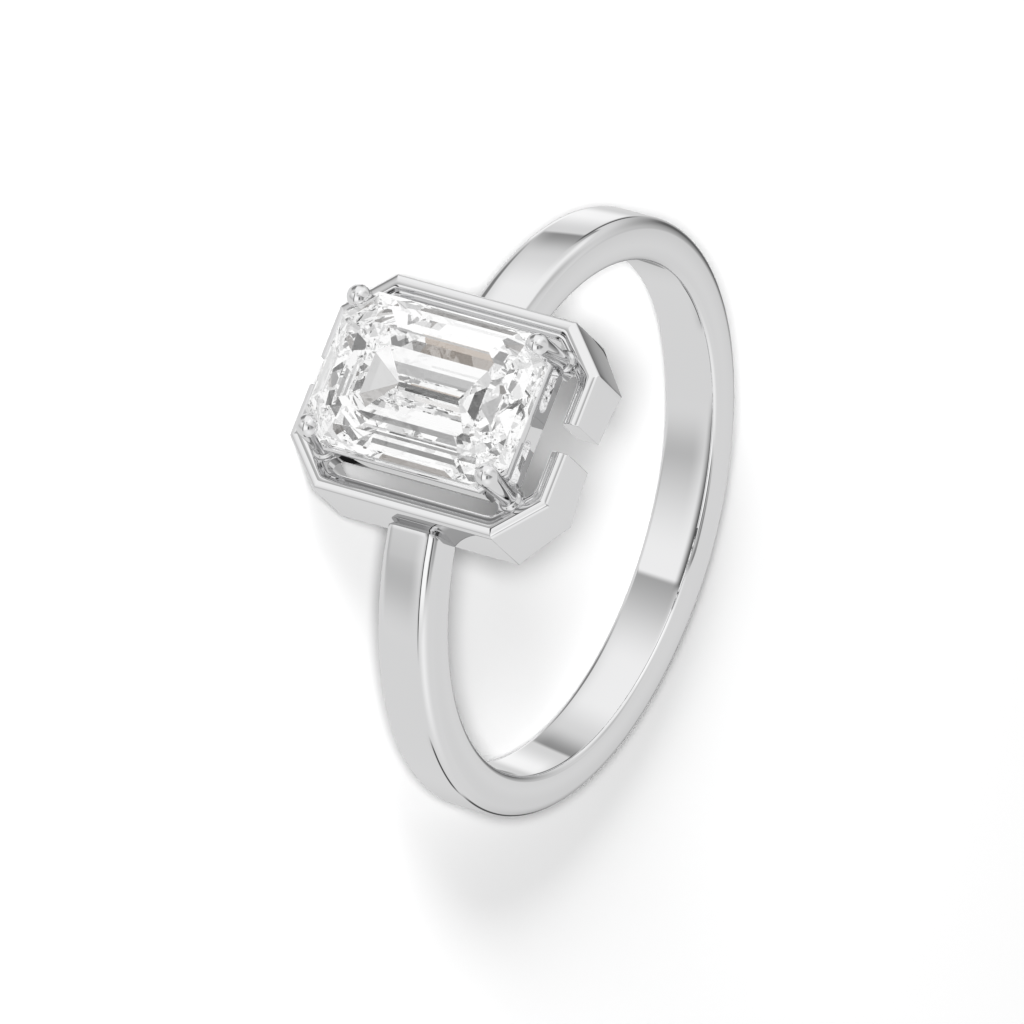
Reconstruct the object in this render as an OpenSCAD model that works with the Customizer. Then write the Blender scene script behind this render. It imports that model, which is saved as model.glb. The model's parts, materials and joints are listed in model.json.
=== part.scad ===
// Solitaire ring with a step-cut stone in an open octagonal head.
// The ring lies on its side: it rests on the head's lower end and on the edge of the band.
// Drawn in millimetres, +Z up. Origin: bottom centre of the whole ring.

/* [Band] */
// Inside diameter of the band
finger_d = 17.3; // [15:0.1:21]
// Radial thickness of the band
band_t = 1.45; // [1.2:0.05:1.8]
// Width of the band along the finger
band_w = 2.0; // [1.6:0.1:2.6]
// Softening of the band's outer edges
band_edge_out = 0.35; // [0.1:0.05:0.5]
// Softening of the band's inner edges
band_edge_in = 0.22; // [0.1:0.02:0.4]

/* [Rim] */
// Outer length of the octagonal rim, along the finger
rim_l = 9.7; // [9.2:0.1:10.4]
// Outer width of the rim, across the finger
rim_w = 7.64; // [7.4:0.02:8.2]
// Leg of the rim's cut corners
rim_cut = 1.53; // [1.2:0.01:1.7]
// Thickness of the rim's wall
rim_t = 0.77; // [0.6:0.01:0.9]
// Height of the rim's top above the inside of the band
rim_h = 1.76; // [1.5:0.02:2.2]
// Open gap in the middle of each short end of the rim
rim_gap = 0.97; // [0.6:0.01:1.4]

/* [Basket] */
// Outer length of the basket, along the finger
basket_l = 7.2; // [7:0.05:7.3]
// Outer width of the basket, across the finger
basket_w = 5.3; // [5.1:0.05:5.4]
// Leg of the basket's cut corners
basket_cut = 0.75; // [0.6:0.05:0.9]
// Height of the basket's lower edge above the inside of the band
basket_z0 = 1.62; // [1.4:0.02:1.66]
// Width of the post between the two windows of a short end
post_w = 1.0; // [0.6:0.1:1.4]

/* [Claws] */
// Diameter of a claw's ball tip
claw_ball = 0.8; // [0.6:0.05:0.9]
// Diameter of a claw at its neck
claw_neck = 0.76; // [0.6:0.02:0.8]
// Diameter of a claw at its foot
claw_foot = 0.56; // [0.5:0.02:0.9]

/* [Stone] */
// Length of the stone, along the finger
stone_l = 7.5; // [7.2:0.05:7.6]
// Width of the stone, across the finger
stone_w = 5.4; // [5.2:0.05:5.5]
// Leg of the stone's cut corners
stone_cut = 0.85; // [0.7:0.05:1]
// Height of the stone's girdle above the inside of the band
girdle_h = 3.4; // [3.3:0.02:3.5]
// Clearance between the stone and the metal
stone_gap = 0.03; // [0.02:0.01:0.06]

/* [Hidden] */
$fn = 180;

finger_r = finger_d / 2;
band_r = finger_r + band_t;
rim_top = finger_r + rim_h;
girdle_z = finger_r + girdle_h;
basket_bottom = finger_r + basket_z0;

// Section of the rim's wall, from its outer face over the top to its inner face:
// [inset from the outer face, drop below the rim's top]
rim_section = [[0, 0.18], [0.05, 0.06], [0.18, 0], [0.35, -0.03], [0.5, 0.01],
               [0.54, 0.06], [0.68, 0.11], [rim_t, 0.24]];

// Section of the basket's wall: [inset from the basket's outer face, height above its lower edge]
basket_section = [[0, 0], [0, 0.92], [-0.07, 1.06], [-0.09, 1.24], [-0.03, 1.42], [0.08, 1.48],
                  [0.42, 0.98], [0.42, 0]];
window_z = [0.32, 0.9];
window_l = 1.55;

// Webs between the basket and the rim
web_z = [1.15, 1.66];
web_reach = 0.12;
slot_long = 6.3;
slot_short = 4.4;

// Claw: centre of the ball tip and middle of the foot, as [along, across, height above the band's inside]
claw_tip = [3.32, 2.28, 3.61];
claw_base = [3.5, 2.46, 1.34];

// Levels of the stone from its culet up: [height from the girdle, half length, half width, leg of the cut corner]
half_l = stone_l / 2;
half_w = stone_w / 2;
stone_levels = [
    [-2.26, half_l - 2.44, half_w - 2.44, 0.22],
    [-1.62, half_l - 1.34, half_w - 1.34, stone_cut - 0.28],
    [-0.94, half_l - 0.62, half_w - 0.62, stone_cut - 0.13],
    [-0.09, half_l, half_w, stone_cut],
    [0.09, half_l, half_w, stone_cut],
    [0.38, half_l - 0.26, half_w - 0.26, stone_cut - 0.09],
    [0.66, half_l - 0.62, half_w - 0.62, stone_cut - 0.2],
    [0.86, half_l - 1.05, half_w - 1.05, stone_cut - 0.33]];

// The ring lies tilted: its band's edge and the rim's lowest corners touch the same plane
rest_across = rim_w / 2 - rim_cut;
rest_out = sqrt(finger_r * finger_r - rest_across * rest_across);
edge_c = [band_w / 2 - band_edge_out, band_r - band_edge_out];
reach = [rim_l / 2 - edge_c[0], rest_out + edge_c[1]];
tilt = atan2(reach[0], reach[1]) - asin(band_edge_out / norm(reach));
low_z = rest_out * sin(tilt) - rim_l / 2 * cos(tilt);
top_level = stone_levels[len(stone_levels) - 1];
far_y = edge_c[1] * cos(tilt) + edge_c[0] * sin(tilt) + band_edge_out;
near_y = -(girdle_z + top_level[0]) * cos(tilt) - top_level[1] * sin(tilt);

// Corners of an octagon with half sizes x and y and cut corners of leg c
function octagon(x, y, c) = [[x, y - c], [x - c, y], [c - x, y], [-x, y - c],
                             [-x, c - y], [c - x, -y], [x - c, -y], [x, c - y]];
// The same octagon with every side moved inwards by d
function inset(x, y, c, d) = octagon(x - d, y - d, c - d * (2 - sqrt(2)));
function at_height(ring, z) = [for (p = ring) [p[0], p[1], z]];

// Solid skinned through closed rings of eight points, open ends capped
module skin(rings) {
    n = len(rings[0]);
    last = len(rings) - 1;
    polyhedron(
        points = [for (ring = rings) each ring],
        faces = concat(
            [[for (i = [0:n - 1]) i]],
            [for (k = [0:last - 1], i = [0:n - 1])
                [k * n + i, (k + 1) * n + i, (k + 1) * n + (i + 1) % n, k * n + (i + 1) % n]],
            [[for (i = [n - 1:-1:0]) last * n + i]]));
}

// Closed octagonal wall: a section of [inset, height] points carried round the octagon
module wall(x, y, c, section) {
    n = 8;
    m = len(section);
    rings = [for (s = section) at_height(inset(x, y, c, s[0]), s[1])];
    polyhedron(
        points = [for (ring = rings) each ring],
        faces = [for (k = [0:m - 1], i = [0:n - 1])
            [k * n + i, ((k + 1) % m) * n + i, ((k + 1) % m) * n + (i + 1) % n, k * n + (i + 1) % n]]);
}

// Turns a head drawn with its top at +Z to its place on the band
module on_band() {
    rotate([0, -90, 0]) rotate([90, 0, 0]) children();
}

// Lays the ring on its side with the origin under the middle of its bounding box
module lying() {
    translate([0, -(far_y + near_y) / 2, -low_z]) rotate([-tilt, 0, 0]) children();
}

module band_profile() {
    w = band_w / 2;
    eo = band_edge_out;
    ei = band_edge_in;
    k = 1 - cos(45);
    polygon([[finger_r, ei - w], [finger_r + k * ei, k * ei - w], [finger_r + ei, -w],
             [band_r - eo, -w], [band_r - k * eo, k * eo - w], [band_r, eo - w],
             [band_r, w - eo], [band_r - k * eo, w - k * eo], [band_r - eo, w],
             [finger_r + ei, w], [finger_r + k * ei, w - k * ei], [finger_r, w - ei]]);
}

// Hoop, left open between the middles of the rim's two long walls
module band() {
    opening = rim_w - rim_t;
    difference() {
        rotate_extrude() band_profile();
        translate([-opening / 2, -2 * band_r, -band_w]) cube([opening, 2 * band_r, 2 * band_w]);
    }
}

// Octagonal rim, cut below by the finger hole and open in the middle of its short ends
module rim() {
    section = concat([for (s = rim_section) [s[0], rim_top - s[1]]],
                     [[rim_t, finger_r - 1.6], [0, finger_r - 1.6]]);
    difference() {
        wall(rim_l / 2, rim_w / 2, rim_cut, section);
        rotate([0, 90, 0]) cylinder(r = finger_r, h = 2 * rim_l, center = true);
        translate([-rim_l, -rim_gap / 2, 0]) cube([2 * rim_l, rim_gap, 2 * rim_top]);
    }
}

// Rounded slot in a web, with its middle at [x, y]
module slot(x, y, l, w) {
    r = w / 2;
    translate([x, y]) {
        square([l - w, w], center = true);
        for (s = [-1, 1]) translate([s * (l - w) / 2, 0]) circle(r = r);
    }
}

// Webs in the four corners, left over between the slots beside the basket
module webs() {
    gap_l = rim_l / 2 - rim_t - basket_l / 2;
    gap_w = rim_w / 2 - rim_t - basket_w / 2;
    bite = 0.05;
    translate([0, 0, finger_r + web_z[0]]) linear_extrude(web_z[1] - web_z[0]) difference() {
        polygon(inset(rim_l / 2, rim_w / 2, rim_cut, rim_t - web_reach));
        polygon(inset(basket_l / 2, basket_w / 2, basket_cut, 0.3));
        for (s = [-1, 1]) {
            slot(0, s * (basket_w + gap_w) / 2, slot_long, gap_w + 2 * bite);
            translate([s * (basket_l + gap_l) / 2, 0]) rotate(90) slot(0, 0, slot_short, gap_l + 2 * bite);
        }
        square([slot_long - gap_w, rim_w], center = true);
        square([rim_l, slot_short - gap_l], center = true);
    }
}

// Gallery under the stone, with two windows in each short end
module basket() {
    h = window_z[1] - window_z[0];
    difference() {
        wall(basket_l / 2, basket_w / 2, basket_cut,
             [for (s = basket_section) [s[0], basket_bottom + s[1]]]);
        for (s = [-1, 1], e = [-1, 1])
            translate([e * basket_l / 2, s * (post_w + window_l) / 2, basket_bottom + window_z[0] + h / 2])
                rotate([90, 0, 90]) linear_extrude(1.2, center = true) slot(0, 0, window_l, h);
    }
}

// Tapered claw with a ball tip, leaning in towards the stone
module claw() {
    lean = claw_tip - claw_base;
    translate([0, 0, finger_r]) {
        translate(claw_tip) sphere(d = claw_ball);
        translate(claw_base)
            rotate([0, acos(lean[2] / norm(lean)), atan2(lean[1], lean[0])])
                cylinder(d1 = claw_foot, d2 = claw_neck, h = norm(lean));
    }
}

module claws() {
    for (s = [0, 1], t = [0, 1]) mirror([s, 0, 0]) mirror([0, t, 0]) claw();
}

// Stone grown by d on every side
module stone_body(d = 0) {
    skin([for (v = stone_levels)
        at_height(octagon(v[1] + d, v[2] + d, v[3] + d * (2 - sqrt(2))), girdle_z + v[0] + sign(v[0]) * d)]);
}

module ring_mount() {
    color([0.83, 0.83, 0.84]) lying() {
        band();
        on_band() difference() {
            union() {
                rim();
                webs();
                basket();
                claws();
            }
            stone_body(stone_gap);
        }
    }
}

module centre_stone() {
    color([0.93, 0.95, 0.97]) lying() on_band() stone_body();
}

ring_mount();
centre_stone();
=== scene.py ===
import json
from math import atan2, cos, degrees, pi, radians, sin, sqrt

import bmesh
import bpy
from mathutils import Matrix, Vector


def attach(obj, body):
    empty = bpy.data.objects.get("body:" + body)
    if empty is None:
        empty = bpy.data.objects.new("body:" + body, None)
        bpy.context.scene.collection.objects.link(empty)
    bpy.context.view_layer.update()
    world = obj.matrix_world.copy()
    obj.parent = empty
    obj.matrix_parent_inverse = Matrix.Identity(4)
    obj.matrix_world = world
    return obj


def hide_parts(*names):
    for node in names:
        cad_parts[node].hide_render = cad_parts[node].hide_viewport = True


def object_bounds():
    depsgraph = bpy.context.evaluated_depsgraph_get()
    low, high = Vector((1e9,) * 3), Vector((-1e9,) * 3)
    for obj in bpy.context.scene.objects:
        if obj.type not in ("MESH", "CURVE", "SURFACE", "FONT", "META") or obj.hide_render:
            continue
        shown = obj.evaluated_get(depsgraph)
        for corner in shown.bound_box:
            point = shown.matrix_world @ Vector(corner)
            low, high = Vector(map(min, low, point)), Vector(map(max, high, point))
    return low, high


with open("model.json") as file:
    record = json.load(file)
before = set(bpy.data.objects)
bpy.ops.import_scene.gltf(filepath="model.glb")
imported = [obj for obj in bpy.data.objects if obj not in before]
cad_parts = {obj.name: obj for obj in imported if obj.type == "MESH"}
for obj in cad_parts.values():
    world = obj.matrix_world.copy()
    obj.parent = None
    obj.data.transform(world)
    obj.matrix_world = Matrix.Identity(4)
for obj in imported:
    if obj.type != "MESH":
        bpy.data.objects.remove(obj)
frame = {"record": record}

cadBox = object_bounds()
record = frame["record"]

# The ring has its own axes, in millimetres: x along the finger, y across it, z out through the stone.
# They come from the finger hole that the frame states.
fingerHole = next(m for m in record["mounts"] if m["name"] == "finger_hole")
fingerR = fingerHole["dims"]["r_mm"]
alongFinger = Vector(fingerHole["axis"]).normalized()
acrossFinger = Vector((-1, 0, 0))
outward = alongFinger.cross(acrossFinger)
ringTurn = Matrix((alongFinger, acrossFinger, outward)).transposed()
millimetre = 0.001
ringFrame = Matrix.Translation(fingerHole["pos_m"]) @ ringTurn.to_4x4() @ Matrix.Scale(millimetre, 4)

# How much shorter an octagon's corner legs get for each millimetre that all its sides move inwards
legLoss = 2 - sqrt(2)


# Helpers for meshes

# Turns a mesh that is drawn in the ring's own millimetres into a finished piece in the frame. Its normals
# come from its modifiers, or else it is smooth apart from the edges above the sharp angle.
def finishPiece(name, mesh, material, sharpAngle=None, modifiers=()):
    draft = bpy.data.objects.new(name + "Draft", mesh)
    bpy.context.scene.collection.objects.link(draft)
    for kind, settings in modifiers:
        modifier = draft.modifiers.new(kind.title(), kind)
        for key, value in settings.items():
            setattr(modifier, key, value)
    if modifiers:
        mesh.shade_smooth()
    evaluated = draft.evaluated_get(bpy.context.evaluated_depsgraph_get())
    final = bpy.data.meshes.new_from_object(evaluated)
    bpy.data.objects.remove(draft)
    final.transform(ringFrame)
    final.materials.clear()
    final.materials.append(material)
    if not modifiers:
        final.shade_smooth()
        final.set_sharp_from_angle(angle=radians(sharpAngle))
    piece = bpy.data.objects.new(name, final)
    bpy.context.scene.collection.objects.link(piece)
    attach(piece, "root")
    return piece


def makeMesh(name, points, faces):
    shape = bmesh.new()
    corners = [shape.verts.new(p) for p in points]
    for face in faces:
        shape.faces.new([corners[i] for i in face])
    bmesh.ops.recalc_face_normals(shape, faces=shape.faces)
    mesh = bpy.data.meshes.new(name)
    shape.to_mesh(mesh)
    shape.free()
    return mesh


# Skin over rows of points, each a closed section. It is closed by the end rows, or the rows make a loop.
def loftMesh(name, rows, closeRows=False):
    n = len(rows[0])
    points = [p for row in rows for p in row]
    count = len(rows) if closeRows else len(rows) - 1
    faces = []
    for k in range(count):
        for i in range(n):
            a, b = k * n, (k + 1) % len(rows) * n
            j = (i + 1) % n
            faces.append((a + i, b + i, b + j, a + j))
    if not closeRows:
        faces.append(tuple(range(n)))
        faces.append(tuple(range(len(points) - n, len(points))))
    return makeMesh(name, points, faces)


# Bevel of the crisp edges, in millimetres, that keeps the flats flat
def softEdges(width, segments, angle):
    return ("BEVEL", {"width": width, "segments": segments, "limit_method": "ANGLE",
                      "angle_limit": radians(angle), "harden_normals": True, "use_clamp_overlap": True})


# Cuts meshes out of another, all in the ring's millimetres
def cutAway(mesh, cutters):
    scene = bpy.context.scene.collection
    target = bpy.data.objects.new("cutTarget", mesh)
    scene.objects.link(target)
    tools = []
    for cutter in cutters:
        tool = bpy.data.objects.new("cutTool", cutter)
        scene.objects.link(tool)
        tools.append(tool)
        modifier = target.modifiers.new("Cut", "BOOLEAN")
        modifier.operation = "DIFFERENCE"
        modifier.solver = "EXACT"
        modifier.object = tool
    result = bpy.data.meshes.new_from_object(target.evaluated_get(bpy.context.evaluated_depsgraph_get()))
    for item in tools + [target]:
        bpy.data.objects.remove(item)
    return result


# Corners of an octagon with half sizes x and y, its corners cut with legs c, all sides moved inwards by d
def octagon(x, y, c, d=0.0):
    x, y, c = x - d, y - d, c - d * legLoss
    return [(x, y - c), (x - c, y), (c - x, y), (-x, y - c),
            (-x, c - y), (c - x, -y), (x - c, -y), (x, c - y)]


# Arc of points about a centre, angles in degrees
def arc(centre, radius, start, end, steps):
    turns = [radians(start + (end - start) * k / steps) for k in range(steps + 1)]
    return [(centre[0] + radius * cos(t), centre[1] + radius * sin(t)) for t in turns]


def prism(name, outline, low, high):
    return loftMesh(name, [[(x, y, z) for x, y in outline] for z in (low, high)])


# Long hole with round ends, its length along x unless turned
def slotOutline(x, y, length, width, turned=False, steps=10):
    r = width / 2
    half = length / 2 - r
    outline = arc((half, 0), r, -90, 90, steps) + arc((-half, 0), r, 90, 270, steps)
    if turned:
        outline = [(-v, u) for u, v in outline]
    return [(x + u, y + v) for u, v in outline]


# Helpers for materials

def newMaterial(name):
    material = bpy.data.materials.new(name)
    material.use_nodes = True
    tree = material.node_tree
    return material, tree, tree.nodes["Principled BSDF"]


def addNode(tree, kind, **settings):
    node = tree.nodes.new(kind)
    for key, value in settings.items():
        setattr(node, key, value)
    return node


# Polished white gold

metalLook = {
    "colour": (0.90, 0.90, 0.905, 1),
    "roughness": (0.0, 0.02),
    "polishScale": 900,
    "polishDetail": 6,
    "rippleScale": 260,
    "rippleDetail": 2,
    "rippleStrength": 0.003,
    "rippleDepth": 0.0001,      # in metres
}


def whiteGold():
    material, tree, shader = newMaterial("polishedWhiteGold")
    shader.inputs["Base Color"].default_value = metalLook["colour"]
    shader.inputs["Metallic"].default_value = 1
    place = addNode(tree, "ShaderNodeTexCoord")
    polish = addNode(tree, "ShaderNodeTexNoise")
    polish.inputs["Scale"].default_value = metalLook["polishScale"]
    polish.inputs["Detail"].default_value = metalLook["polishDetail"]
    haze = addNode(tree, "ShaderNodeMapRange")
    haze.inputs["To Min"].default_value, haze.inputs["To Max"].default_value = metalLook["roughness"]
    ripple = addNode(tree, "ShaderNodeTexNoise")
    ripple.inputs["Scale"].default_value = metalLook["rippleScale"]
    ripple.inputs["Detail"].default_value = metalLook["rippleDetail"]
    bump = addNode(tree, "ShaderNodeBump")
    bump.inputs["Strength"].default_value = metalLook["rippleStrength"]
    bump.inputs["Distance"].default_value = metalLook["rippleDepth"]
    tree.links.new(place.outputs["Object"], polish.inputs["Vector"])
    tree.links.new(place.outputs["Object"], ripple.inputs["Vector"])
    tree.links.new(polish.outputs["Fac"], haze.inputs["Value"])
    tree.links.new(haze.outputs["Result"], shader.inputs["Roughness"])
    tree.links.new(ripple.outputs["Fac"], bump.inputs["Height"])
    tree.links.new(bump.outputs["Normal"], shader.inputs["Normal"])
    return material


# Clear colourless gemstone

stoneLook = {
    "colour": (1.0, 1.0, 1.0, 1),
    "ior": 2.42,
    "roughness": (0.0, 0.004),
    "polishScale": 1500,
}


def clearStone():
    material, tree, shader = newMaterial("clearStone")
    shader.inputs["Base Color"].default_value = stoneLook["colour"]
    shader.inputs["Transmission Weight"].default_value = 1
    shader.inputs["IOR"].default_value = stoneLook["ior"]
    place = addNode(tree, "ShaderNodeTexCoord")
    polish = addNode(tree, "ShaderNodeTexNoise")
    polish.inputs["Scale"].default_value = stoneLook["polishScale"]
    haze = addNode(tree, "ShaderNodeMapRange")
    haze.inputs["To Min"].default_value, haze.inputs["To Max"].default_value = stoneLook["roughness"]
    tree.links.new(place.outputs["Object"], polish.inputs["Vector"])
    tree.links.new(polish.outputs["Fac"], haze.inputs["Value"])
    tree.links.new(haze.outputs["Result"], shader.inputs["Roughness"])
    return material


# Band

band = {
    "thickness": 1.45,
    "width": 2.0,
    "outerEdge": 0.38,
    "innerEdge": 0.2,
    "edgeSteps": 8,
    "steps": 320,
    "endAngle": 28.5,      # from the stone's direction to where its even rows begin
    "endLift": 0.02,       # its end rows stay this far outside the finger hole
    "endBite": 0.01,       # the slope is measured from this far inside the rim's wall
    # slope between the band's outside and the rim, fading out towards its inside: off the wall, depth
    "endSlope": [(-0.1, 0.16), (0.0, 0.16), (0.14, 0.03), (0.16, 0.008), (0.185, 0.0), (0.3, 0.0)],
}


def bandSection(lift=0.0):
    r0, r1, w = fingerR, fingerR + band["thickness"], band["width"] / 2
    o, i, k = band["outerEdge"], band["innerEdge"], band["edgeSteps"]
    section = arc((w - o, r1 - o), o, 90, 0, k) + arc((w - i, r0 + i), i, 0, -90, k)
    section += arc((i - w, r0 + i), i, 270, 180, k) + arc((o - w, r1 - o), o, 180, 90, k)
    return [(x, max(r, r0 + lift)) for x, r in section]


# Row of the band's section beside the rim: off the wall and drawn in on the outside, neither on the inside
def endRow(off, draw, side):
    row = []
    for x, r in bandSection(band["endLift"]):
        outside = (r - fingerR) / band["thickness"]
        y = rim["width"] / 2 - band["endBite"] + off * outside
        r -= draw * outside
        row.append((x * (1 - draw * outside / (band["width"] / 2)), side * y, sqrt(r ** 2 - y ** 2)))
    return row


def buildBand(material):
    start = band["endAngle"]
    rows = [endRow(off, draw, 1) for off, draw in band["endSlope"]]
    for k in range(band["steps"] + 1):
        t = radians(start + (360 - 2 * start) * k / band["steps"])
        rows.append([(x, r * sin(t), r * cos(t)) for x, r in bandSection()])
    rows += [endRow(off, draw, -1) for off, draw in reversed(band["endSlope"])]
    return finishPiece("bandHoop", loftMesh("bandHoop", rows), material, sharpAngle=50)


# Octagonal rim

rim = {
    "length": 9.7,
    "width": 7.64,
    "cut": 1.53,
    "wall": 0.77,
    "height": 1.76,
    "gap": 0.97,
    "cornerRound": 0.06,    # of the octagon's corners outside, and how much rounder they get inside
    "innerRound": 0.8,
    "cornerSteps": 6,
    "straightSteps": 10,
    "edgeRound": 0.035,
    # section over the top: inset from the outer face, drop below the rim's top
    "top": [(0, 0.18), (0.012, 0.115), (0.05, 0.052), (0.11, 0.013), (0.18, 0.0), (0.26, -0.02),
            (0.35, -0.028), (0.43, -0.018), (0.48, 0.01), (0.505, 0.045), (0.52, 0.075), (0.545, 0.085),
            (0.58, 0.088), (0.63, 0.105), (0.675, 0.14), (0.715, 0.2), (0.745, 0.28), (0.765, 0.37),
            (0.77, 0.45)],
}


# Half of the octagon from gap to gap at an inset, with its corners rounded
def rimPath(inset):
    x, y, c = rim["length"] / 2 - inset, rim["width"] / 2 - inset, rim["cut"] - inset * legLoss
    corners = [(x, rim["gap"] / 2), (x, y - c), (x - c, y), (c - x, y), (-x, y - c), (-x, rim["gap"] / 2)]
    radius = rim["cornerRound"] + rim["innerRound"] * (inset / rim["wall"]) ** 2
    path = [corners[0]]
    for before, corner, after in zip(corners, corners[1:], corners[2:]):
        into = (Vector(corner) - Vector(before)).normalized()
        out = (Vector(after) - Vector(corner)).normalized()
        half = into.angle(out) / 2
        reach = radius * sin(half) / cos(half)
        a, b = Vector(corner) - into * reach, Vector(corner) + out * reach
        path += straight(path[-1], a, rim["straightSteps"])
        for k in range(rim["cornerSteps"]):
            t = (k + 1) / rim["cornerSteps"]
            path.append(tuple(a * (1 - t) ** 2 + Vector(corner) * 2 * t * (1 - t) + b * t ** 2))
    return path + straight(path[-1], corners[-1], rim["straightSteps"])


# Points on the straight from one point to another, without the first
def straight(start, end, steps):
    return [tuple(Vector(start).lerp(Vector(end), (k + 1) / steps)) for k in range(steps)]


def buildRim(name, side, material):
    top = fingerR + rim["height"]
    section = [(inset, top - drop) for inset, drop in rim["top"]] + [(rim["wall"], None), (0, None)]
    paths = [rimPath(inset) for inset, height in section]
    rows = []
    for k in range(len(paths[0])):
        row = []
        for path, (inset, height) in zip(paths, section):
            x, y = path[k]
            z = height if height is not None else sqrt(fingerR ** 2 - y ** 2)
            row.append((x, side * y, z))
        rows.append(row)
    return finishPiece(name, loftMesh(name, rows), material,
                       modifiers=[softEdges(rim["edgeRound"], segments=3, angle=40)])


# Basket under the stone

basket = {
    "length": 7.2,
    "width": 5.3,
    "cut": 0.75,
    "low": 1.62,            # above the inside of the band
    # section outside, over the rail: inset from the outer face, height above the lower edge
    "section": [(0.0, 0.0), (0.0, 0.9), (-0.02, 0.97), (-0.06, 1.03), (-0.085, 1.1), (-0.09, 1.17),
                (-0.085, 1.24), (-0.065, 1.3), (-0.03, 1.33), (0.01, 1.32), (0.3, 0.92), (0.3, 0.0)],
    "windowLow": 0.32,      # above the lower edge
    "windowHigh": 0.86,
    "windowLength": 1.55,
    "windowReach": 0.7,     # of the cut, inwards and outwards from the outer face
    "post": 1.0,            # between the two windows of a short end
    "edgeRound": 0.03,
}


def buildBasket(material):
    low = fingerR + basket["low"]
    rows = []
    for inset, z in basket["section"]:
        outline = octagon(basket["length"] / 2, basket["width"] / 2, basket["cut"], inset)
        rows.append([(x, y, low + z) for x, y in outline])
    shell = loftMesh("basket", rows, closeRows=True)
    middle = low + (basket["windowLow"] + basket["windowHigh"]) / 2
    height = basket["windowHigh"] - basket["windowLow"]
    reach = basket["windowReach"]
    windows = []
    for end in (-1, 1):
        for side in (-1, 1):
            outline = slotOutline(side * (basket["post"] + basket["windowLength"]) / 2, middle,
                                  basket["windowLength"], height)
            x = end * basket["length"] / 2
            sections = [[(x + d, y, z) for y, z in outline] for d in (-reach, reach)]
            windows.append(loftMesh("window", sections))
    return finishPiece("basket", cutAway(shell, windows), material,
                       modifiers=[softEdges(basket["edgeRound"], segments=2, angle=35)])


# Webs that join the basket to the rim in the four corners

webs = {
    "low": 1.15,
    "high": 1.66,
    "longSlot": 6.3,
    "shortSlot": 4.4,
    "reach": 0.12,          # into the rim's wall
    "bite": 0.05,           # the slots run a little into both walls
    "holeInset": 0.2,       # of the hole under the stone, from the basket's outer face
    # how far each kind of cut runs past the webs, above and below
    "beyond": {"hole": 1.0, "slot": 0.5, "side": 0.7},
    "edgeRound": 0.05,
}


def buildWebs(material):
    low, high = fingerR + webs["low"], fingerR + webs["high"]
    outer = octagon(rim["length"] / 2, rim["width"] / 2, rim["cut"], rim["wall"] - webs["reach"])
    inner = octagon(basket["length"] / 2, basket["width"] / 2, basket["cut"], webs["holeInset"])
    gapL = rim["length"] / 2 - rim["wall"] - basket["length"] / 2
    gapW = rim["width"] / 2 - rim["wall"] - basket["width"] / 2
    wide, bite, beyond = 2 * rim["length"], 2 * webs["bite"], webs["beyond"]
    cutters = [prism("webCut", inner, low - beyond["hole"], high + beyond["hole"])]
    for s in (-1, 1):
        middleL, middleW = s * (basket["length"] + gapL) / 2, s * (basket["width"] + gapW) / 2
        long = slotOutline(0, middleW, webs["longSlot"], gapW + bite)
        short = slotOutline(middleL, 0, webs["shortSlot"], gapL + bite, turned=True)
        for outline in (long, short):
            cutters.append(prism("webCut", outline, low - beyond["slot"], high + beyond["slot"]))
    # between the round ends of the slots the sides are cut away whole, so that only the corners stay
    for x, y in ((webs["longSlot"] - gapW, wide), (wide, webs["shortSlot"] - gapL)):
        outline = [(x / 2, y / 2), (-x / 2, y / 2), (-x / 2, -y / 2), (x / 2, -y / 2)]
        cutters.append(prism("webCut", outline, low - beyond["side"], high + beyond["side"]))
    return finishPiece("cornerWebs", cutAway(prism("webs", outer, low, high), cutters), material,
                       modifiers=[softEdges(webs["edgeRound"], segments=3, angle=35)])


# Claws

claw = {
    "tip": (3.32, 2.28, 3.61),       # centre of the ball: along, across, above the inside of the band
    "foot": (3.5, 2.46, 1.34),
    # turned shape from the foot up, over its collar: share of the way to the ball's centre, radius
    "turning": [(0.0, 0.41), (0.15, 0.41), (0.175, 0.40), (0.195, 0.375), (0.21, 0.34), (0.225, 0.31),
                (0.25, 0.29), (0.29, 0.284), (0.36, 0.29), (0.48, 0.307), (0.60, 0.328), (0.75, 0.355),
                (0.88, 0.38), (0.95, 0.392)],
    "ball": 0.40,
    "ballEnd": 88,                   # degrees up the ball, where a small flat closes it
    "ballSteps": 14,
    "around": 40,
    "stoneGap": 0.02,                # between the stone and the seat that is cut for it
    "corners": [("clawFarRight", 1, 1), ("clawFarLeft", -1, 1),
                ("clawNearRight", 1, -1), ("clawNearLeft", -1, -1)],
}


# A claw turned about its own leaning axis, mirrored into its corner
def buildClaw(name, sx, sy, stoneTool, material):
    tip = Vector((claw["tip"][0] * sx, claw["tip"][1] * sy, fingerR + claw["tip"][2]))
    foot = Vector((claw["foot"][0] * sx, claw["foot"][1] * sy, fingerR + claw["foot"][2]))
    axis = (tip - foot).normalized()
    sideways = axis.cross(Vector((0, 1, 0))).normalized()
    other = axis.cross(sideways)
    length = (tip - foot).length
    profile = [(share * length, r) for share, r in claw["turning"]]
    low = -sqrt(claw["ball"] ** 2 - claw["turning"][-1][1] ** 2)
    start = degrees(atan2(low, claw["turning"][-1][1]))
    ballPoints = arc((0, 0), claw["ball"], start, claw["ballEnd"], claw["ballSteps"])
    profile += [(length + h, r) for r, h in ballPoints[1:]]
    rows = []
    for h, r in profile:
        row = []
        for k in range(claw["around"]):
            t = 2 * pi * k / claw["around"]
            row.append(tuple(foot + axis * h + (sideways * cos(t) + other * sin(t)) * r))
        rows.append(row)
    shape = cutAway(loftMesh(name, rows), [stoneTool.copy()])
    return finishPiece(name, shape, material, sharpAngle=42)


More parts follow.
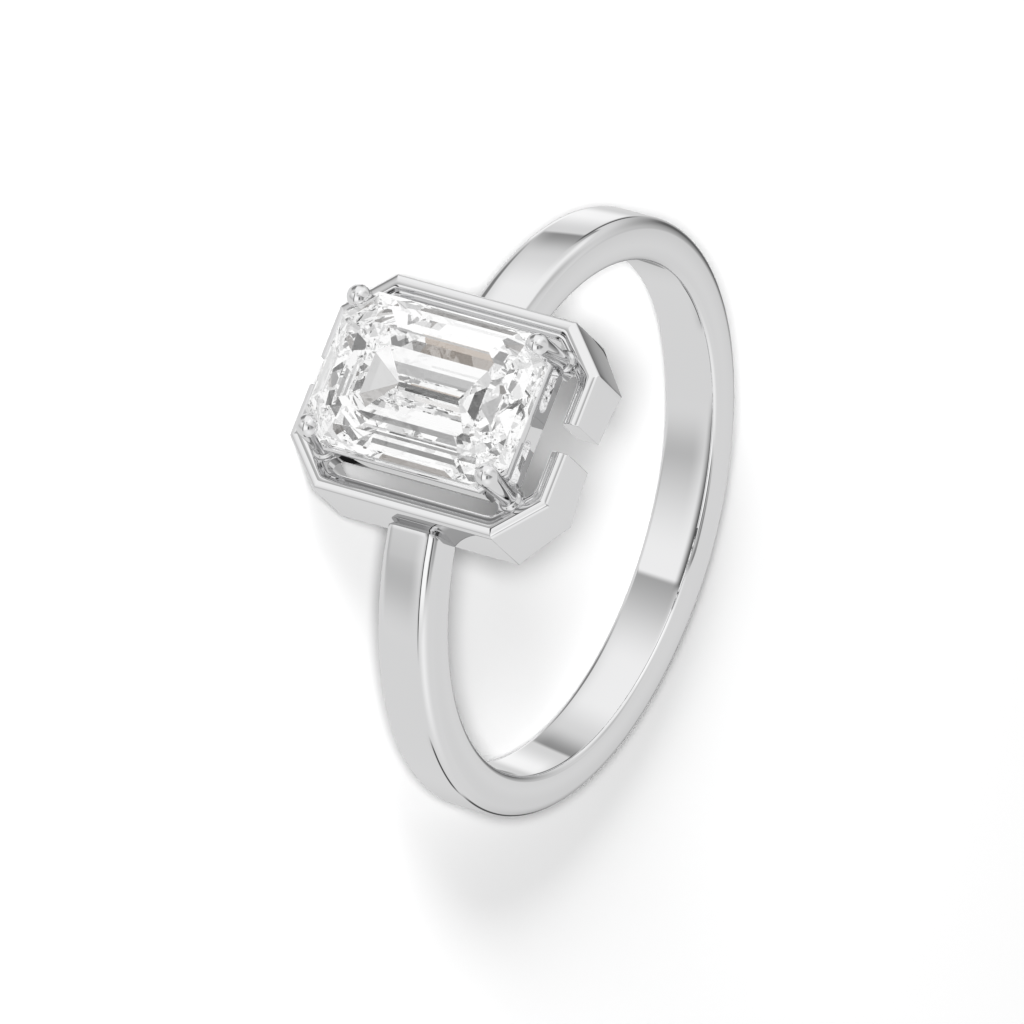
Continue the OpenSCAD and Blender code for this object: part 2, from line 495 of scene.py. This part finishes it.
# Step-cut stone. Its width, cut, girdle and levels were fitted by a program and rounded.

stone = {
    "length": 7.5,
    "width": 5.32,
    "cut": 0.93,
    "girdle": 3.3,          # above the inside of the band
    # levels from the culet up: height from the girdle, inset, less of the cut corner's leg
    "levels": [(-2.3, 2.61, 0.90), (-1.72, 1.55, 0.55), (-0.98, 0.66, 0.15), (-0.12, 0.0, 0.0),
               (0.12, 0.0, 0.0), (0.42, 0.19, -0.02), (0.74, 0.62, 0.10), (0.95, 1.19, 0.50)],
}


def stoneMesh(name, grow=0.0):
    girdle = fingerR + stone["girdle"]
    rows = []
    for height, inset, less in stone["levels"]:
        x, y, c = stone["length"] / 2 - inset, stone["width"] / 2 - inset, stone["cut"] - less
        z = girdle + height + (grow if height > 0 else -grow)
        rows.append([(u, v, z) for u, v in octagon(x + grow, y + grow, c + grow * legLoss)])
    return loftMesh(name, rows)


def buildStone(material):
    return finishPiece("cutStone", stoneMesh("cutStone"), material, sharpAngle=1)


# Studio: pale floor, two soft lamps for it, and a surround of light that only the polish and the stone see

studio = {
    "floorSize": 1.2,
    "floorColour": (0.93, 0.93, 0.93, 1),
    "floorRoughness": 0.9,
    "floorSpecular": 0.1,
    "floorDrop": 0.00002,   # below the ring's lowest point, in metres
    # place (beside the camera where none is given), size, power
    "lamps": {
        "frontFill": (None, 0.1, 5.4),
        "softKey": ((-0.21, -0.55, 0.24), 0.25, 4.0),
    },
    "backdrop": 1.0,
    "surround": 0.72,
    "deepFrom": 1.5,        # past this many reflections the cards look darker and have more contrast
    "deepShade": 0.75,
    "stoneSurround": 1.08,  # the light that passes through the stone comes from a white tent
    "warmLoss": (0.12, 0.22),   # green and blue that a flag of warmth 1 takes
    # Cards over the surround, later ones in front of earlier ones. Angles are in degrees: round the ring's
    # plane from the stone's direction towards the far side, then along the finger out of that plane.
    # A program fitted the first sixteen and the surround to the polish. They were rounded, some changed.
    # from, to, softness of both; low, high, softness of both; brightness
    "cards": {
        "ceiling": (5, 80, 36, 24, -37, 45, 25, 0.94),
        "ceilingHot": (15, 52, 6, 3, 12, 24, 18, 1.15),
        "front": (-60, 22, 42, 8, -50, 12, 25, 0.93),
        "patch": (3, 21, 3, 50, -47, -20, 3, 0.36),
        "farGap": (98, 108, 18, 3, -30, -2, 6, 0.29),
        "farBright": (121, 141, 20, 12, -42, -24, 2, 1.03),
        "farDark": (127, 162, 32, 11, -14, 25, 36, 0.22),
        "lowDark": (43, 104, 38, 29, -63, -33, 10, 0.22),
        "sideDip": (-64, -35, 28, 60, -73, -22, 6, 0.46),
        "viewer": (-10, -4, 28, 11, 2, 69, 40, 0.23),
        "topDark": (-60, -4, 53, 7, 50, 83, 58, 0.12),
        "nearHot": (-118, -66, 56, 19, 7, 45, 48, 0.93),
        "farHot": (64, 103, 15, 11, 4, 25, 22, 0.93),
        "underDip": (168, 191, 3, 45, -14, 6, 58, 0.15),
        "topGrey": (53, 125, 58, 60, 40, 49, 23, 0.43),
        "middleDip": (1, 14, 26, 6, -3, 10, 5, 0.44),
        "nearLine": (-75, 5, 20, 5, -21, -14, 2, 0.06),
        "smallDisc": (-60, -25, 20, 20, -11, 22, 6, 1.05),
        "boxGap": (-55, -20, 10, 10, 27, 40, 6, 0.12),
        "farLine": (100, 135, 10, 10, -21, -14, 4, 0.1),
        "farLineEnd": (138, 160, 10, 10, -6, 9, 6, 0.12),
        "innerLine": (180, 210, 10, 10, -13, -2, 6, 0.06),
        "innerLineEnd": (-150, -120, 10, 10, -22, -14, 4, 0.06),
    },
    # Flags that only the stone sees in its tent. The steps along its sides all look at one lean, and what
    # they see there makes its long bars: middle of the turn and half its reach, brightness, warmth.
    # The turns come from a program that followed rays through the stone.
    "barLean": (-26.6, 1.0),    # middle and half its reach
    "barSoft": (0.6, 0.8),      # softness round the turn and along the lean
    "bars": {
        "middle": (-80.5, 1.8, 0.0, 0.0),
        "middleBack": (166.8, 3.0, 0.0, 0.0),
        "middleEdge": (-4.7, 0.8, 0.0, 0.0),
        "far": (-3.0, 0.8, 0.16, 0.5),
        "farEdge": (-14.3, 1.3, 0.12, 0.4),
        "thin": (-57.4, 1.4, 0.0, 0.0),
        "grey": (-44.2, 2.3, 0.45, 0.0),
        "greyThin": (-30.4, 1.0, 0.3, 0.0),
        "near": (6.0, 1.4, 0.2, 0.0),
        "nearThin": (14.7, 1.3, 0.3, 0.0),
        "nearEdge": (27.5, 1.5, 0.24, 0.9),
        "warm": (60.0, 3.0, 0.3, 1.3),
        "warmPale": (91.7, 2.5, 0.52, 1.3),
        "pale": (179.4, 2.0, 0.5, 0.0),
    },
    "flagSoft": 2.5,
    # middle of the turn and half its reach; middle of the lean and half its reach; brightness, warmth
    "flags": {
        "highAll": (0, 200, 62, 24, 0.72, 0.0),
        "lowAll": (0, 200, -62, 20, 0.7, 0.0),
        "backWide": (168, 10, 8, 20, 0.68, 0.0),
        "frontSmall": (8, 8, 8, 6, 0.35, 0.0),
        "sideWide": (-100, 16, 18, 10, 0.1, 0.0),
        "otherWide": (90, 14, 20, 10, 0.1, 0.0),
        "bandSide": (-144, 10, 8, 8, 0.1, 0.0),
        "bandOther": (128, 10, 8, 8, 0.4, 0.3),
        "lowerBack": (152, 8, -36, 6, 0.0, 0.0),
        "lowestSide": (-96, 12, -62, 8, 0.0, 0.0),
        "frontUpper": (24, 5, 16, 5, 0.0, 0.0),
        "lowerLeft": (96, 8, -42, 5, 0.1, 0.9),
        "upperLeft": (56, 8, 42, 7, 0.0, 0.0),
        "upperBack": (-176, 8, 34, 6, 0.0, 0.0),
        "frontLower": (16, 8, -12, 5, 0.1, 0.0),
        "sideSmall": (-32, 8, 4, 8, 0.15, 0.0),
        "highLeft": (136, 7, 50, 8, 0.1, 0.9),
        "lowerRight": (-60, 10, -40, 7, 0.0, 0.0),
        "lowestLeft": (64, 12, -72, 8, 0.0, 0.0),
        "highest": (-30, 10, 70, 10, 0.0, 0.0),
        "lowerFar": (-150, 12, -44, 6, 0.0, 0.0),
        "sideLevel": (-120, 10, 0, 8, 0.1, 0.0),
        "leftLevel": (40, 6, -6, 6, 0.1, 0.0),
        "sideUpper": (-20, 6, 30, 6, 0.1, 0.0),
        "leftLow": (110, 8, -16, 6, 0.15, 0.8),
        "highRight": (-60, 10, 60, 8, 0.0, 0.0),
        "frontLowest": (20, 10, -50, 6, 0.1, 0.0),
        "highBack": (170, 10, 56, 8, 0.0, 0.0),
        "rightLow": (-130, 12, -16, 7, 0.1, 0.0),
        "leftSmall": (72, 8, 4, 6, 0.1, 0.0),
        "farRight": (-63, 4, -13, 4, 0.1, 0.0),
        "nearLeft": (130, 7, -6, 4, 0.15, 0.6),
        "endTop": (-33, 4, 46, 4, 0.15, 0.0),
        "endHigh": (-2, 8, 47, 4, 0.15, 0.0),
        "endRight": (-3, 4, 30, 4, 0.15, 0.0),
        "endLow": (-12, 4, -65, 4, 0.15, 0.0),
        "left": (83, 4, -12, 4, 0.2, 0.0),
        "endLeft": (98, 6, -37, 4, 0.2, 0.6),
        "leftBack": (166, 8, -10, 5, 0.4, 0.0),
        "endBack": (-120, 7, 51, 5, 0.2, 0.6),
        "endFront": (13, 5, 51, 4, 0.2, 0.0),
        "top": (42, 6, 33, 5, 0.2, 0.3),
        "back": (-161, 4, 12, 4, 0.15, 0.0),
        "endSteep": (-76, 5, -57, 5, 0.15, 0.0),
    },
}


def buildFloor():
    half = studio["floorSize"] / 2
    mesh = bpy.data.meshes.new("studioFloor")
    low = cadBox[0].z - studio["floorDrop"]
    corners = [(-half, -half, low), (half, -half, low), (half, half, low), (-half, half, low)]
    mesh.from_pydata(corners, [], [(0, 1, 2, 3)])
    floor = bpy.data.objects.new("studioFloor", mesh)
    bpy.context.scene.collection.objects.link(floor)
    material, tree, shader = newMaterial("paleFloor")
    shader.inputs["Base Color"].default_value = studio["floorColour"]
    shader.inputs["Roughness"].default_value = studio["floorRoughness"]
    shader.inputs["Specular IOR Level"].default_value = studio["floorSpecular"]
    mesh.materials.append(material)
    floor.visible_glossy = False
    floor.visible_transmission = False


# Works a number out from one or two others, each a plain number or a socket
def compute(tree, operation, first, second=None):
    node = addNode(tree, "ShaderNodeMath", operation=operation)
    for socket, value in zip(node.inputs, (first, second)):
        if isinstance(value, (int, float)):
            socket.default_value = value
        elif value is not None:
            tree.links.new(value, socket)
    return node.outputs["Value"]


# Goes smoothly from 0 to 1 as the angle passes a line, or from 1 to 0 when it falls
def softStep(tree, angle, line, softness, falls=False):
    node = addNode(tree, "ShaderNodeMapRange", interpolation_type="SMOOTHSTEP")
    tree.links.new(angle, node.inputs["Value"])
    node.inputs["From Min"].default_value = radians(line - softness / 2)
    node.inputs["From Max"].default_value = radians(line + softness / 2)
    node.inputs["To Min"].default_value = 1.0 if falls else 0.0
    node.inputs["To Max"].default_value = 0.0 if falls else 1.0
    return node.outputs["Result"]


# How fully a ray's turn lies between two lines
def turnCover(tree, turn, turns, softTurns):
    middle = sum(turns) / 2
    away = addNode(tree, "ShaderNodeMath", operation="WRAP")
    tree.links.new(compute(tree, "SUBTRACT", turn, radians(middle)), away.inputs[0])
    away.inputs[1].default_value = pi
    away.inputs[2].default_value = -pi
    away = away.outputs["Value"]
    return compute(tree, "MULTIPLY", softStep(tree, away, turns[0] - middle, softTurns[0]),
                   softStep(tree, away, turns[1] - middle, softTurns[1], falls=True))


# How fully a ray's lean lies between two lines
def leanCover(tree, lean, leans, softLean):
    return compute(tree, "MULTIPLY", softStep(tree, lean, leans[0], softLean),
                   softStep(tree, lean, leans[1], softLean, falls=True))


# Moves a level towards another brightness by how fully that one covers the ray
def blend(tree, level, brightness, cover):
    change = compute(tree, "MULTIPLY", compute(tree, "SUBTRACT", brightness, level), cover)
    return compute(tree, "ADD", level, change)


# Brightness of the cards in the direction of a ray
def cardLight(tree, turn, lean):
    level = addNode(tree, "ShaderNodeValue").outputs["Value"]
    level.default_value = studio["surround"]
    for start, end, softStart, softEnd, low, high, softLean, brightness in studio["cards"].values():
        cover = compute(tree, "MULTIPLY", turnCover(tree, turn, (start, end), (softStart, softEnd)),
                        leanCover(tree, lean, (low, high), softLean))
        level = blend(tree, level, brightness, cover)
    return level


# Brightness and warmth of the stone's white tent with its flags
def tentLight(tree, turn, lean):
    level = addNode(tree, "ShaderNodeValue").outputs["Value"]
    level.default_value = studio["stoneSurround"]
    warmth = addNode(tree, "ShaderNodeValue").outputs["Value"]
    warmth.default_value = 0.0
    tip, height = studio["barLean"]
    softTurn, softLean = studio["barSoft"]
    barCover = leanCover(tree, lean, (tip - height, tip + height), softLean)
    flags = [(middle, reach, softTurn, barCover, brightness, warm)
             for middle, reach, brightness, warm in studio["bars"].values()]
    soft = studio["flagSoft"]
    for middle, reach, tip, height, brightness, warm in studio["flags"].values():
        flagCover = leanCover(tree, lean, (tip - height, tip + height), soft)
        flags.append((middle, reach, soft, flagCover, brightness, warm))
    for middle, reach, softTurn, along, brightness, warm in flags:
        across = turnCover(tree, turn, (middle - reach, middle + reach), (softTurn, softTurn))
        cover = compute(tree, "MULTIPLY", across, along)
        level = blend(tree, level, brightness, cover)
        warmth = blend(tree, warmth, warm, cover)
    return level, warmth


# Background light of one kind. Its strength is a plain number or a socket, its colour white or a socket.
def lightKind(tree, name, strength, colour=None):
    background = addNode(tree, "ShaderNodeBackground", name=name)
    background.inputs["Color"].default_value = (1, 1, 1, 1)
    if isinstance(strength, (int, float)):
        background.inputs["Strength"].default_value = strength
    else:
        tree.links.new(strength, background.inputs["Strength"])
    if colour is not None:
        tree.links.new(colour, background.inputs["Color"])
    return background.outputs["Background"]


# Gives the rays of one kind their own light, and all others the light that they had
def chooseLight(tree, isKind, others, own):
    mix = addNode(tree, "ShaderNodeMixShader")
    for value, socket in zip((isKind, others, own), mix.inputs):
        tree.links.new(value, socket)
    return mix.outputs["Shader"]


def buildWorld():
    world = bpy.data.worlds.new("lightSurround")
    bpy.context.scene.world = world
    world.use_nodes = True
    tree = world.node_tree
    tree.nodes.remove(tree.nodes["Background"])
    place = addNode(tree, "ShaderNodeTexCoord")
    parts = []
    for axis in (alongFinger, acrossFinger, outward):
        dot = addNode(tree, "ShaderNodeVectorMath", operation="DOT_PRODUCT")
        dot.inputs[1].default_value = axis
        tree.links.new(place.outputs["Generated"], dot.inputs[0])
        parts.append(dot.outputs["Value"])
    turn = compute(tree, "ARCTAN2", parts[1], parts[2])
    lean = compute(tree, "ARCSINE", parts[0])
    path = addNode(tree, "ShaderNodeLightPath")
    level = cardLight(tree, turn, lean)
    deep = compute(tree, "GREATER_THAN", path.outputs["Glossy Depth"], studio["deepFrom"])
    level = compute(tree, "POWER", level, compute(tree, "ADD", deep, 1.0))
    shade = compute(tree, "ADD", compute(tree, "MULTIPLY", deep, studio["deepShade"] - 1), 1.0)
    cards = lightKind(tree, "cards", compute(tree, "MULTIPLY", level, shade))
    # the flags' warmth takes a little green and more blue out of the tent's light
    tentLevel, warmth = tentLight(tree, turn, lean)
    tint = addNode(tree, "ShaderNodeCombineColor")
    tint.inputs["Red"].default_value = 1.0
    for name, loss in (("Green", studio["warmLoss"][0]), ("Blue", studio["warmLoss"][1])):
        kept = compute(tree, "SUBTRACT", 1.0, compute(tree, "MULTIPLY", warmth, loss))
        tree.links.new(kept, tint.inputs[name])
    tent = lightKind(tree, "tent", tentLevel, tint.outputs["Color"])
    nothing = lightKind(tree, "nothing", 0.0)
    plain = lightKind(tree, "plain", studio["backdrop"])
    light = chooseLight(tree, path.outputs["Is Transmission Ray"], cards, tent)
    light = chooseLight(tree, path.outputs["Is Diffuse Ray"], light, nothing)
    light = chooseLight(tree, path.outputs["Is Camera Ray"], light, plain)
    tree.links.new(light, tree.nodes["World Output"].inputs["Surface"])


# Lamps for the floor only: the polish and the stone see nothing but the surround
def buildLights(camera):
    for name, (place, size, power) in studio["lamps"].items():
        place = Vector(place) if place else camera.matrix_world.translation
        light = bpy.data.lights.new(name, "AREA")
        light.shape = "DISK"
        light.size = size
        light.energy = power
        lamp = bpy.data.objects.new(name, light)
        lamp.location = place
        lamp.rotation_euler = place.to_track_quat("Z", "Y").to_euler()
        lamp.visible_camera = False
        lamp.visible_glossy = False
        lamp.visible_transmission = False
        bpy.context.scene.collection.objects.link(lamp)


# Camera at the photograph's angle to the ring

shot = {
    "toViewer": (0.4416, -0.2006, 0.8745),     # in the ring's own axes
    "up": (-0.2403, 0.9127, 0.3306),
    "distance": 657.7,                         # from the middle of the finger hole, in millimetres
    "scale": 30.676,                           # pixels for a millimetre at that distance
    "holeAt": (558.3, 511.93),                 # pixel where the middle of the finger hole shows
    "imageSide": 1024,
    "sensor": 36,
    "clip": (0.01, 10),                        # in metres
}


def buildCamera():
    data = bpy.data.cameras.new("ringCamera")
    data.sensor_width = shot["sensor"]
    data.lens = shot["scale"] * shot["distance"] / shot["imageSide"] * data.sensor_width
    data.clip_start, data.clip_end = shot["clip"]
    camera = bpy.data.objects.new("ringCamera", data)
    bpy.context.scene.collection.objects.link(camera)
    back = Vector(shot["toViewer"]).normalized()
    right = Vector(shot["up"]).cross(back).normalized()
    up = back.cross(right)
    middle = shot["imageSide"] / 2
    aim = (right * (middle - shot["holeAt"][0]) - up * (middle - shot["holeAt"][1])) / shot["scale"]
    eye = back * shot["distance"]
    back = (eye - aim).normalized()
    right = up.cross(back).normalized()
    up = back.cross(right)
    pose = Matrix((right, up, back)).transposed().to_4x4()
    pose.translation = eye
    placed = ringFrame @ pose
    turned = placed.to_quaternion().to_matrix().to_4x4()
    camera.matrix_world = Matrix.Translation(placed.translation) @ turned
    bpy.context.scene.camera = camera
    return camera


# Bounces that the facets need: with fewer of them, dark specks show in the stone
bounces = {
    "max_bounces": 64,
    "glossy_bounces": 60,
    "transmission_bounces": 24,
}


def setLook():
    scene = bpy.context.scene
    scene.view_settings.view_transform = "Standard"
    for name, count in bounces.items():
        setattr(scene.cycles, name, count)
    scene.cycles.caustics_reflective = True
    scene.cycles.caustics_refractive = True


camera = buildCamera()
print("camera placed")

metal = whiteGold()
gem = clearStone()
metalPieces = [buildBand(metal)]
print("band built")
metalPieces += [buildRim("rimFar", 1, metal), buildRim("rimNear", -1, metal)]
metalPieces += [buildBasket(metal), buildWebs(metal)]
print("rim, basket and webs built")
stoneTool = stoneMesh("stoneTool", grow=claw["stoneGap"])
for name, sx, sy in claw["corners"]:
    metalPieces.append(buildClaw(name, sx, sy, stoneTool, metal))
print("claws built")
for piece in metalPieces:
    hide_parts("ring_mount")
    piece.visible_transmission = False      # light that leaves the stone comes straight from its tent
cutStone = buildStone(gem)
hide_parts("centre_stone")
print("stone cut")

buildFloor()
buildWorld()
buildLights(camera)
setLook()
print("studio lit")
